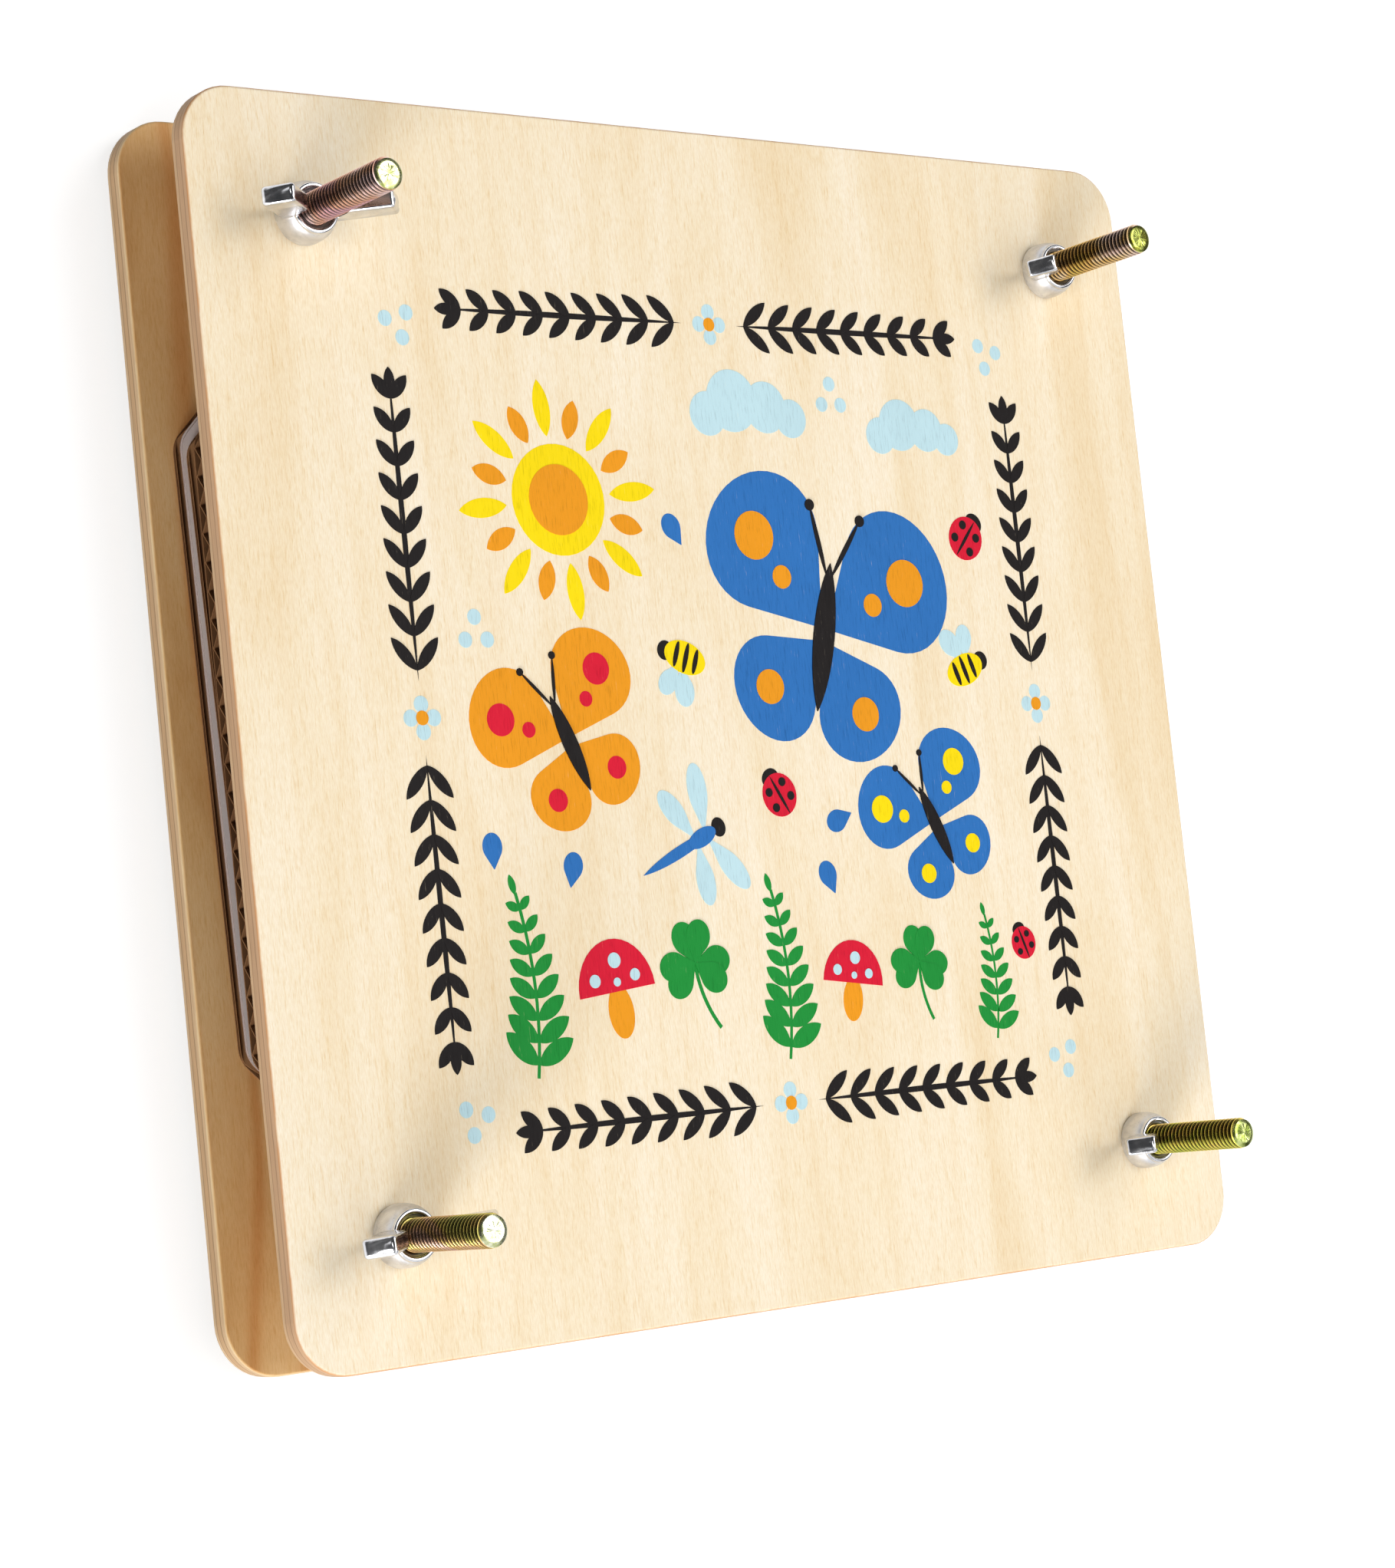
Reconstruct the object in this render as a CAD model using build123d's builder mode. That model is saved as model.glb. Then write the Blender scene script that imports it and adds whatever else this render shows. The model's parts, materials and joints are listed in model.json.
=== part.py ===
# Flower press: two plywood boards clamp a stack of cardboard and blotting paper with bolts and wing nuts.
# Millimetres. The press lies on its bolt heads, +Z points up along the bolts, and the front board is on top.
import os
from math import atan2, ceil, cos, radians, sin, tan

from build123d import *

os.makedirs("parts", exist_ok=True)

# Boards
board_side = 220.0
board_thickness = 4.0
board_corner_radius = 10.0
board_edge_round = 0.5

# Coach bolts, M6 thread
bolt_inset = 22.0  # bolt axis to the board's edges
bolt_diameter = 5.9  # over the thread's crests
bolt_length = 55.0  # underside of the head to the tip
bolt_tip_chamfer = 0.8
head_diameter = 16.0
head_height = 3.3
head_rim = 0.6  # straight edge round the domed head
neck_width = 6.3  # square neck under the head
neck_length = 3.4
neck_clearance = 0.05  # each side, in the back board's square hole
shank_clearance = 0.3  # all round, in the front board's hole

# Wing nuts, M6 thread
thread_clearance = 0.05  # all round, between the bolt and the nut's bore
hub_base_diameter = 11.0
hub_top_diameter = 9.0
hub_height = 5.5
hub_skirt = 0.9  # straight side above the board
hub_rim_round = 0.5
bore_mouth_diameter = 7.6  # widened mouth at the hub's top
bore_mouth_depth = 1.2
wing_thickness = 3.2
wing_width = 6.0  # across the wing's end face
wing_end_reach = 12.0  # bolt axis to the middle of the end face
wing_end_height = 12.2  # board to the middle of the end face
wing_rise = 42.0  # degrees above the board
wing_corner_round = 0.7
wing_root_overlap = 0.3  # how far the wing's root stands inside the hub's rim

# Turn of each wing nut about its bolt, in degrees
nut_turns = {"top_left": 1.0, "top_right": 11.0, "bottom_right": 3.0, "bottom_left": 5.0}

# Sheets between the boards
sheet_corner_round = 5.0
card_side = 206.0
card_corner_cut = 49.0  # length cut off each side at a corner
card_thickness = 2.7
card_count = 6
card_liner = 0.28
card_medium = 0.24  # wavy sheet between the two liners
flute_pitch = 5.0
flute_round = 0.45  # inside radius of a flute's crest
card_flute_angles = (90.0, 90.0, 0.0, 90.0, 0.0, 0.0)  # direction of each card's flutes, from X
paper_margin = 0.0  # how far a paper's sides lie inside a card's
paper_side = card_side - 2 * paper_margin
paper_corner_cut = card_corner_cut
paper_thickness = 0.24
papers_between = 2  # blotting papers between two cards
# How far each card and the papers on it lie off the middle of the press, and how many degrees they are turned
layer_slips = ((-0.35, 0), (0.7, -1.0), (-0.8, -2.4), (0.3, -0.6), (-0.4, 0.4), (0.2, -0.2))
layer_turns = (1.0, 1.4, 0.1, -0.3, 0.4, -0.2)
paper_slip = 0.2  # how far a paper lies off the middle of its layer
paper_slip_step = 137.0  # degrees, so that each paper slips another way than the one below

# Levels, from the surface that the press lies on
back_board_z = head_height
stack_z = back_board_z + board_thickness
paper_count = papers_between * (card_count - 1)
stack_height = card_count * card_thickness + paper_count * paper_thickness
front_board_z = stack_z + stack_height
front_face_z = front_board_z + board_thickness

# Bolt places, as seen from above with +Y up
bolt_reach = board_side / 2 - bolt_inset
bolt_places = {
    "top_left": (-bolt_reach, bolt_reach),
    "top_right": (bolt_reach, bolt_reach),
    "bottom_right": (bolt_reach, -bolt_reach),
    "bottom_left": (-bolt_reach, -bolt_reach),
}
bolt_radius = bolt_diameter / 2


def upright_plane(x, y, z, turn):
    # Vertical plane through a bolt's axis: local x points outwards at the turn, local y points up
    a = radians(turn)
    return Plane(origin=(x, y, z), x_dir=(cos(a), sin(a), 0), z_dir=(sin(a), -cos(a), 0))


def save(part, name):
    part.label = name
    export_step(part, f"parts/{name}.step")


# Boards: the back one has square holes for the bolts' necks, the front one round holes for their shanks
with BuildPart() as back_board:
    with BuildSketch(Plane.XY.offset(back_board_z)):
        RectangleRounded(board_side, board_side, board_corner_radius)
        with GridLocations(2 * bolt_reach, 2 * bolt_reach, 2, 2):
            neck_hole = neck_width + 2 * neck_clearance
            Rectangle(neck_hole, neck_hole, mode=Mode.SUBTRACT)
    extrude(amount=board_thickness)
    board_faces = back_board.faces().filter_by(Axis.Z).sort_by(Axis.Z)
    fillet(board_faces[0].outer_wire().edges() + board_faces[-1].outer_wire().edges(), board_edge_round)
save(back_board.part, "back_board")

with BuildPart() as front_board:
    with BuildSketch(Plane.XY.offset(front_board_z)):
        RectangleRounded(board_side, board_side, board_corner_radius)
        with GridLocations(2 * bolt_reach, 2 * bolt_reach, 2, 2):
            Circle(bolt_radius + shank_clearance, mode=Mode.SUBTRACT)
    extrude(amount=board_thickness)
    board_faces = front_board.faces().filter_by(Axis.Z).sort_by(Axis.Z)
    fillet(board_faces[0].outer_wire().edges() + board_faces[-1].outer_wire().edges(), board_edge_round)
save(front_board.part, "front_board")

# Coach bolts: a domed head, a square neck and a shank with a bevelled tip
head_radius = head_diameter / 2
dome_height = head_height - head_rim
dome_radius = (head_radius**2 + dome_height**2) / (2 * dome_height)
dome_half_angle = atan2(head_radius, dome_radius - dome_height) / 2
dome_middle = (dome_radius * sin(dome_half_angle), dome_radius * (1 - cos(dome_half_angle)))

for place, (x, y) in bolt_places.items():
    with BuildPart() as bolt:
        with BuildSketch(upright_plane(x, y, 0, 0)):
            with BuildLine():
                Polyline((0, 0), (0, head_height), (head_radius, head_height), (head_radius, dome_height))
                ThreePointArc((head_radius, dome_height), dome_middle, (0, 0))
            make_face()
        revolve(axis=Axis((x, y, 0), (0, 0, 1)))
        with BuildSketch(Plane((x, y, head_height))):
            Rectangle(neck_width, neck_width)
        extrude(amount=neck_length)
        with BuildSketch(Plane((x, y, head_height))):
            Circle(bolt_radius)
        extrude(amount=bolt_length)
        chamfer(bolt.edges().filter_by(GeomType.CIRCLE).sort_by(Axis.Z)[-1], bolt_tip_chamfer)
    save(bolt.part, f"coach_bolt_{place}")

# Wing nuts: a tapered hub with a widened bore and two wings that rise outwards
bore_radius = bolt_radius + thread_clearance
hub_base_radius = hub_base_diameter / 2
hub_top_radius = hub_top_diameter / 2
mouth_radius = bore_mouth_diameter / 2
hub_outline = (
    (bore_radius, 0),
    (hub_base_radius, 0),
    (hub_base_radius, hub_skirt),
    (hub_top_radius, hub_height),
    (mouth_radius, hub_height),
    (bore_radius, hub_height - bore_mouth_depth),
)
wing_root = hub_top_radius - wing_root_overlap
rise = radians(wing_rise)
end_low = (wing_end_reach + wing_width / 2 * sin(rise), wing_end_height - wing_width / 2 * cos(rise))
end_high = (wing_end_reach - wing_width / 2 * sin(rise), wing_end_height + wing_width / 2 * cos(rise))
root_low = (wing_root, max(0, end_low[1] - (end_low[0] - wing_root) * tan(rise)))
root_high = (wing_root, end_high[1] - (end_high[0] - wing_root) * tan(rise))

for place, (x, y) in bolt_places.items():
    bolt_axis = Axis((x, y, 0), (0, 0, 1))
    with BuildPart() as nut:
        with BuildSketch(upright_plane(x, y, front_face_z, nut_turns[place])):
            with BuildLine():
                Polyline(*hub_outline, close=True)
            make_face()
        revolve(axis=bolt_axis)
        top_edges = nut.edges().filter_by(GeomType.CIRCLE).group_by(Axis.Z)[-1]
        fillet(top_edges.sort_by(SortBy.RADIUS)[-1], hub_rim_round)
        for half_turn in (0, 180):
            with BuildSketch(upright_plane(x, y, front_face_z, nut_turns[place] + half_turn)) as wing:
                with BuildLine():
                    Polyline(root_low, end_low, end_high, root_high, close=True)
                make_face()
                end_corners = wing.vertices().sort_by(Axis.X)[-2:]
                fillet(end_corners, wing_corner_round)
            extrude(amount=wing_thickness / 2, both=True)
    save(nut.part, f"wing_nut_{place}")

# Profile of a corrugated card: two liners and a wavy sheet between them, which leaves two rows of tunnels
hollow_height = card_thickness - 2 * card_liner
wave_slope = atan2(hollow_height - card_medium, flute_pitch / 2)
tunnel_apex = hollow_height - card_medium / 2 - card_medium / (2 * cos(wave_slope))
tunnel_half_base = tunnel_apex / tan(wave_slope)
round_run = flute_round * tan(wave_slope)
round_start = (round_run * cos(wave_slope), tunnel_apex - round_run * sin(wave_slope))
round_top = (0, tunnel_apex - flute_round * (1 / cos(wave_slope) - 1))
flute_count = ceil(card_side / flute_pitch) + 2  # two spare ones, cut away at the sheet's sides

with BuildSketch() as tunnel:
    with BuildLine():
        Polyline(
            (-round_start[0], round_start[1]), (-tunnel_half_base, 0), (tunnel_half_base, 0), round_start
        )
        ThreePointArc(round_start, round_top, (-round_start[0], round_start[1]))
    make_face()

with BuildSketch() as card_profile:
    with Locations((0, card_thickness / 2)):
        Rectangle(flute_count * flute_pitch, card_thickness)
    with Locations((0, card_liner)):
        with GridLocations(flute_pitch, 1, flute_count - 1, 1):
            add(tunnel.sketch, mode=Mode.SUBTRACT)
    with Locations(Location((0, card_thickness - card_liner), 180)):
        with GridLocations(flute_pitch, 1, flute_count - 2, 1):
            add(tunnel.sketch, mode=Mode.SUBTRACT)

# Outline of a sheet: a square with its corners cut off to clear the bolts
def sheet_outline(side, corner_cut):
    half_side = side / 2
    half_flat = half_side - corner_cut
    with BuildSketch() as outline:
        with BuildLine():
            Polyline(
                (half_side, -half_flat),
                (half_side, half_flat),
                (half_flat, half_side),
                (-half_flat, half_side),
                (-half_side, half_flat),
                (-half_side, -half_flat),
                (-half_flat, -half_side),
                (half_flat, -half_side),
                close=True,
            )
        make_face()
        fillet(outline.vertices(), sheet_corner_round)
    return outline.sketch


card_outline = sheet_outline(card_side, card_corner_cut)
paper_outline = sheet_outline(paper_side, paper_corner_cut)

# One card and one paper, flat on the XY plane; the card's flutes run along X
with BuildPart() as card_blank:
    with BuildSketch(Plane.YZ.offset(-card_side)):
        add(card_profile.sketch)
    extrude(amount=2 * card_side)
    with BuildSketch():
        add(card_outline)
    extrude(amount=card_thickness, mode=Mode.INTERSECT)

with BuildPart() as paper_blank:
    with BuildSketch():
        add(paper_outline)
    extrude(amount=paper_thickness)


def sheet_plane(layer, z, turn, slip, way):
    # Plane of a sheet laid by hand: off the middle and askew with its layer, and slipped a little by itself
    a = radians(turn + layer_turns[layer])
    x = layer_slips[layer][0] + slip * cos(radians(way))
    y = layer_slips[layer][1] + slip * sin(radians(way))
    return Plane(origin=(x, y, z), x_dir=(cos(a), sin(a), 0))


# Stack, from the back board up: cards with two papers between each two of them
sheet_z = stack_z
paper_index = 0
for card_index in range(card_count):
    with BuildPart() as card:
        with Locations(sheet_plane(card_index, sheet_z, card_flute_angles[card_index], 0, 0)):
            add(card_blank.part)
    save(card.part, f"corrugated_card_{card_index + 1}")
    sheet_z += card_thickness
    if card_index == card_count - 1:
        break
    for _ in range(papers_between):
        paper_index += 1
        with BuildPart() as paper:
            with Locations(sheet_plane(card_index, sheet_z, 0, paper_slip, paper_index * paper_slip_step)):
                add(paper_blank.part)
        save(paper.part, f"blotting_paper_{paper_index}")
        sheet_z += paper_thickness
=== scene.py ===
import json
import math

import bmesh
import bpy
from mathutils import Matrix, Vector

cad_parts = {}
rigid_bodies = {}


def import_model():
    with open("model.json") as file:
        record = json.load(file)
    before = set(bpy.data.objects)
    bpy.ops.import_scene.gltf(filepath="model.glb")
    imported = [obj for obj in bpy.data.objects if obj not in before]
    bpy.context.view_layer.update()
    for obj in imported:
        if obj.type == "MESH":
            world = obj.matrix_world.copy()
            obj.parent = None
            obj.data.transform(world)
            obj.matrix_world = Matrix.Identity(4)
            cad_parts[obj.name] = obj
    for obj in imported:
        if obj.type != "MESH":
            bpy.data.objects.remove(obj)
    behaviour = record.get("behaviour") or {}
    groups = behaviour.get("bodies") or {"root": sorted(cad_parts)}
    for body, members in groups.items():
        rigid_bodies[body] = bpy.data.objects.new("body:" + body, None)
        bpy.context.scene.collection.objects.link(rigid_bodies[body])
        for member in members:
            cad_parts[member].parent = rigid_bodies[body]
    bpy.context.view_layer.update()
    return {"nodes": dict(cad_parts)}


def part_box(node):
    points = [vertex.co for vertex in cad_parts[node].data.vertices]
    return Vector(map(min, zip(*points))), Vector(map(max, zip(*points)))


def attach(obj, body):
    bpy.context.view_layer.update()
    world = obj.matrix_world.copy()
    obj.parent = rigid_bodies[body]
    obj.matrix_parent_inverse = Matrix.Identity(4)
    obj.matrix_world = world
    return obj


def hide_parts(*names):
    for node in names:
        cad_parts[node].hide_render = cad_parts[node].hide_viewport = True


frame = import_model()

mm = 0.001
places = {"top_left": (-1, 1), "top_right": (1, 1), "bottom_right": (1, -1), "bottom_left": (-1, -1)}
boltReach = 88 * mm  # bolts from the middle of the board, both ways
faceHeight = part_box("front_board")[1].z
print("frame loaded, front face at", round(faceHeight / mm, 2), "mm")


# small helpers for modelling by hand

def pickOnly(obj):
    bpy.ops.object.select_all(action="DESELECT")
    obj.select_set(True)
    bpy.context.view_layer.objects.active = obj


def applyPlace(obj):
    pickOnly(obj)
    bpy.ops.object.transform_apply(location=True, rotation=True, scale=True)


def applyModifier(obj, kind, **settings):
    pickOnly(obj)
    modifier = obj.modifiers.new(kind.lower(), kind)
    for key, value in settings.items():
        setattr(modifier, key, value)
    bpy.ops.object.modifier_apply(modifier=modifier.name)


def combine(obj, tool, operation="UNION"):
    applyModifier(obj, "BOOLEAN", object=tool, operation=operation, solver="EXACT")
    bpy.data.objects.remove(tool)


def openEdit(obj):  # everything is selected at first
    pickOnly(obj)
    bpy.ops.object.mode_set(mode="EDIT")
    bpy.ops.mesh.select_mode(type="VERT")
    bpy.ops.mesh.select_all(action="SELECT")


def closeEdit():
    bpy.ops.object.mode_set(mode="OBJECT")


def pickParts(kind, test):  # kind is verts, edges or faces of the mesh in edit mode
    data = bpy.context.object.data
    bpy.ops.mesh.select_mode(type=kind[:-1].upper())
    bpy.ops.mesh.select_all(action="DESELECT")
    mesh = bmesh.from_edit_mesh(data)
    for part in getattr(mesh, kind):
        if test(part):
            part.select_set(True)
    mesh.select_flush_mode()
    bmesh.update_edit_mesh(data)


def cleanShell():  # merge what a spin or mirror doubled, then turn the faces outwards
    bpy.ops.mesh.select_all(action="SELECT")
    bpy.ops.mesh.remove_doubles(threshold=1e-6)
    bpy.ops.mesh.normals_make_consistent(inside=False)


def drawProfile(name, points):  # a chain of edges in the XZ plane, left open in edit mode
    bpy.ops.object.select_all(action="DESELECT")
    bpy.ops.mesh.primitive_plane_add(size=mm)
    obj = bpy.context.object
    obj.name = name
    openEdit(obj)
    bpy.ops.mesh.merge(type="CENTER")
    bpy.ops.transform.translate(value=(points[0][0] * mm, 0, points[0][1] * mm))
    for (r0, z0), (r1, z1) in zip(points, points[1:]):
        step = ((r1 - r0) * mm, 0, (z1 - z0) * mm)
        bpy.ops.mesh.extrude_region_move(TRANSFORM_OT_translate={"value": step})
    bpy.ops.mesh.select_all(action="SELECT")
    return obj


def turnProfile(name, points, steps):  # a profile spun once round Z
    obj = drawProfile(name, points)
    bpy.ops.mesh.spin(steps=steps, angle=2 * math.pi, center=(0, 0, 0), axis=(0, 0, 1))
    cleanShell()
    closeEdit()
    return obj


def copyPiece(master, name):
    piece = master.copy()
    piece.data = master.data.copy()
    piece.name = name
    bpy.context.collection.objects.link(piece)
    return piece


# small helpers for node materials

def tint(code):  # a screen colour as the shader's own numbers
    parts = [int(code[i:i + 2], 16) / 255 for i in (1, 3, 5)]
    return (*[c / 12.92 if c <= 0.04045 else ((c + 0.055) / 1.055) ** 2.4 for c in parts], 1)


def newFinish(name):
    mat = bpy.data.materials.new(name)
    mat.use_nodes = True
    return mat, mat.node_tree.nodes["Principled BSDF"]


def feed(mat, socket, value):
    if isinstance(value, bpy.types.NodeSocket):
        mat.node_tree.links.new(value, socket)
    else:
        socket.default_value = value


def addNode(mat, kind, inputs=None, **settings):
    node = mat.node_tree.nodes.new("ShaderNode" + kind)
    for key, value in settings.items():
        setattr(node, key, value)
    for key, value in (inputs or {}).items():
        feed(mat, node.inputs[key], value)
    return node


def calc(mat, operation, a, b=0.0):
    return addNode(mat, "Math", {0: a, 1: b}, operation=operation).outputs[0]


def mixColour(mat, factor, a, b, blend="MIX"):
    return addNode(mat, "Mix", {0: factor, 6: a, 7: b}, data_type="RGBA", blend_type=blend).outputs[2]


def ramp(mat, source, stops):  # a stop is a position with a screen colour or a grey level
    node = addNode(mat, "ValToRGB", {0: source})
    band = node.color_ramp
    while len(band.elements) < len(stops):
        band.elements.new(0.5)
    for element, (position, colour) in zip(band.elements, stops):
        element.position = position
        element.color = tint(colour) if isinstance(colour, str) else (colour, colour, colour, 1)
    return node.outputs[0]


def spread(mat, scale):  # the piece's own coordinates in metres, stretched
    where = addNode(mat, "TexCoord").outputs["Object"]
    return addNode(mat, "Mapping", {"Vector": where, "Scale": scale}).outputs[0]


def grain(mat, scale, detail=3.0, rough=0.55, warp=0.0):  # scale counts the noise's cells in a metre
    inputs = {"Vector": spread(mat, scale), "Scale": 1.0, "Detail": detail, "Roughness": rough,
              "Distortion": warp}
    return addNode(mat, "TexNoise", inputs).outputs["Fac"]


def addBump(mat, shader, height, distance, strength):
    inputs = {"Height": height, "Distance": distance, "Strength": strength}
    feed(mat, shader.inputs["Normal"], addNode(mat, "Bump", inputs).outputs[0])


def dress(obj, mat):
    obj.data.materials.clear()
    obj.data.materials.append(mat)


# plywood boards

woodGrain = {"fibre": (4200, 330, 4200), "hair": (7600, 900, 7600), "cloud": (36, 7, 36),
             "edge": (120, 120, 4200), "glueLine": (55, 55, 300), "wear": (160, 160, 160),
             "figureStretch": (1, 0.13, 1), "figureScale": 34.0, "figureWarp": 9.0,
             "bump": 0.03, "bumpStrength": 0.4}
# the inner faces' tones are browner and warmer than the outer faces of the same wood: painted warm shade from
# the gap between the boards
frontWood = {"outerSide": 1, "face": ("#FBF0DB", "#F8EACF", "#F3E0BE"), "faceFigure": 0.12,
             "inner": ("#F0D2A4", "#E8C592", "#DBB27C"), "innerFigure": 0.10,
             "plies": ("#CBA983", "#9B7250", "#C19C78", "#976F4D", "#C8A27E"), "arris": "#C6864A",
             "innerLine": "#E3C29A"}
backWood = {"outerSide": -1, "face": ("#F7E8CD", "#F2DEBC", "#E8CFA6"), "faceFigure": 0.12,
            "inner": ("#FAD6A0", "#F3C98E", "#E4B376"), "innerFigure": 0.5,
            "plies": ("#D2B48F", "#8F6742", "#C8A47C", "#8B643F", "#D1B18A"), "arris": "#EBD2A6",
            "innerLine": "#F6E3BF"}


def plywoodFinish(name, node, look):
    mat, shader = newFinish(name)
    low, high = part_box(node)
    place = addNode(mat, "TexCoord")
    z = addNode(mat, "SeparateXYZ", {0: place.outputs["Object"]}).outputs[2]
    up = addNode(mat, "SeparateXYZ", {0: place.outputs["Normal"]}).outputs[2]
    fibre = grain(mat, woodGrain["fibre"], detail=4, rough=0.6)
    hair = grain(mat, woodGrain["hair"], detail=2)
    cloud = grain(mat, woodGrain["cloud"], detail=3, warp=1.1)
    waveIn = {"Vector": spread(mat, woodGrain["figureStretch"]), "Scale": woodGrain["figureScale"],
              "Distortion": woodGrain["figureWarp"], "Detail": 2.0, "Detail Scale": 1.3}
    wave = addNode(mat, "TexWave", waveIn, wave_type="BANDS", bands_direction="X").outputs["Fac"]
    figure = ramp(mat, wave, [(0.0, 1.0), (0.16, 0.35), (0.4, 0.0)])
    streak = ramp(mat, fibre, [(0.25, "#F1E2CA"), (0.4, "#FAF5EB"), (0.55, "#FFFFFF"), (0.78, "#F9F2E7")])
    streak = mixColour(mat, 0.6, streak, ramp(mat, hair, [(0.3, "#F3E9DA"), (0.6, "#FFFFFF")]), "MULTIPLY")

    def woodFace(colours, strength):
        base = ramp(mat, cloud, list(zip((0.32, 0.5, 0.68), colours)))
        base = mixColour(mat, calc(mat, "MULTIPLY", figure, strength), base, tint(colours[2]), "MULTIPLY")
        return mixColour(mat, 1.0, base, streak, "MULTIPLY")

    outside = ramp(mat, calc(mat, "MULTIPLY", up, look["outerSide"]), [(0.0, 0.0), (0.1, 1.0)])
    # painted shade: the inner face takes the browner inner tones
    innerFace = woodFace(look["inner"], look["innerFigure"])
    face = mixColour(mat, outside, innerFace, woodFace(look["face"], look["faceFigure"]))
    # the plies at the edge, with a little wander in the glue lines
    wander = calc(mat, "SUBTRACT", grain(mat, woodGrain["glueLine"], detail=3), 0.5)
    wander = calc(mat, "MULTIPLY", wander, 0.13)
    depth = calc(mat, "DIVIDE", calc(mat, "SUBTRACT", z, low.z), high.z - low.z)
    depth = calc(mat, "ADD", depth, wander)
    a, glue, b, glueTwo, c = look["plies"]
    stops = [(0.0, a), (0.27, a), (0.31, glue), (0.35, b), (0.63, b), (0.67, glueTwo), (0.71, c), (0.94, c),
             (0.985, look["innerLine"])]
    edge = ramp(mat, depth, stops)
    sawn = grain(mat, woodGrain["edge"], detail=4, rough=0.7)
    sawn = ramp(mat, sawn, [(0.3, 0.72), (0.55, 1.0), (0.75, 0.9)])
    edge = mixColour(mat, 0.8, edge, sawn, "MULTIPLY")
    flat = calc(mat, "ABSOLUTE", up)
    colour = mixColour(mat, ramp(mat, flat, [(0.55, 0.0), (0.8, 1.0)]), edge, face)
    arris = ramp(mat, flat, [(0.2, 0.0), (0.5, 1.0), (0.86, 0.75), (0.97, 0.0)])
    worn = ramp(mat, grain(mat, woodGrain["wear"], detail=3), [(0.35, 0.35), (0.6, 1.0)])
    arris = calc(mat, "MULTIPLY", calc(mat, "MULTIPLY", arris, worn), 0.75)
    colour = mixColour(mat, arris, colour, tint(look["arris"]))
    feed(mat, shader.inputs["Base Color"], colour)
    feed(mat, shader.inputs["Roughness"], ramp(mat, fibre, [(0.3, 0.62), (0.7, 0.48)]))
    shader.inputs["Specular IOR Level"].default_value = 0.2
    addBump(mat, shader, fibre, woodGrain["bump"] * mm, woodGrain["bumpStrength"])
    return mat


dress(frame["nodes"]["front_board"], plywoodFinish("frontPlywood", "front_board", frontWood))
dress(frame["nodes"]["back_board"], plywoodFinish("backPlywood", "back_board", backWood))
print("boards dressed")


# corrugated card and blotting paper

# the kraft brown is the card's own colour, set darker than plain kraft as painted shade of the gap between
# the boards
cardLook = {"liner": ("#86603D", "#755132", "#634127"), "fleck": "#4A2F1A"}
# the paper's edge colour is painted shade for the sheets' upright sides
paperLook = {"face": ("#F4EEEC", "#EFE7E5", "#E6DCDA"), "fluff": "#F8F5F4", "edge": "#9A8882"}


def cardFinish(name, look):
    mat, shader = newFinish(name)
    pulp = grain(mat, (900, 260, 900), detail=5, rough=0.7)
    broad = grain(mat, (22, 22, 60), detail=3, warp=0.6)
    colour = ramp(mat, broad, list(zip((0.34, 0.5, 0.66), look["liner"])))
    fleck = ramp(mat, grain(mat, (2100, 700, 2100), detail=2), [(0.64, 0.0), (0.72, 0.6)])
    colour = mixColour(mat, fleck, colour, tint(look["fleck"]))
    colour = mixColour(mat, 0.7, colour, ramp(mat, pulp, [(0.3, 0.8), (0.6, 1.0)]), "MULTIPLY")
    feed(mat, shader.inputs["Base Color"], colour)
    feed(mat, shader.inputs["Roughness"], ramp(mat, pulp, [(0.3, 0.95), (0.7, 0.78)]))
    shader.inputs["Specular IOR Level"].default_value = 0.25
    addBump(mat, shader, pulp, 0.05 * mm, 0.6)
    return mat


def paperFinish(name, look):
    mat, shader = newFinish(name)
    felt = grain(mat, (1300, 1300, 2600), detail=5, rough=0.75)
    broad = grain(mat, (30, 30, 80), detail=2)
    colour = ramp(mat, broad, list(zip((0.3, 0.5, 0.7), look["face"])))
    fluff = ramp(mat, felt, [(0.55, 0.0), (0.75, 0.7)])
    colour = mixColour(mat, fluff, colour, tint(look["fluff"]))
    up = addNode(mat, "SeparateXYZ", {0: addNode(mat, "TexCoord").outputs["Normal"]}).outputs[2]
    # painted shade: the sheets' upright sides are darkened to a mauve grey, as shade between the cards
    paintedSideShade = ramp(mat, calc(mat, "ABSOLUTE", up), [(0.3, 1.0), (0.7, 0.0)])
    feed(mat, shader.inputs["Base Color"], mixColour(mat, paintedSideShade, colour, tint(look["edge"])))
    feed(mat, shader.inputs["Roughness"], ramp(mat, felt, [(0.3, 1.0), (0.7, 0.88)]))
    shader.inputs["Specular IOR Level"].default_value = 0.2
    addBump(mat, shader, felt, 0.04 * mm, 0.5)
    return mat


kraft = cardFinish("kraftCard", cardLook)
blotting = paperFinish("blottingPaper", paperLook)
for nodeName, obj in frame["nodes"].items():
    if nodeName.startswith("corrugated_card"):
        dress(obj, kraft)
    if nodeName.startswith("blotting_paper"):
        dress(obj, blotting)
print("stack dressed")


# coach bolts: a rolled thread on a domed head with a square neck, lengths in millimetres

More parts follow.
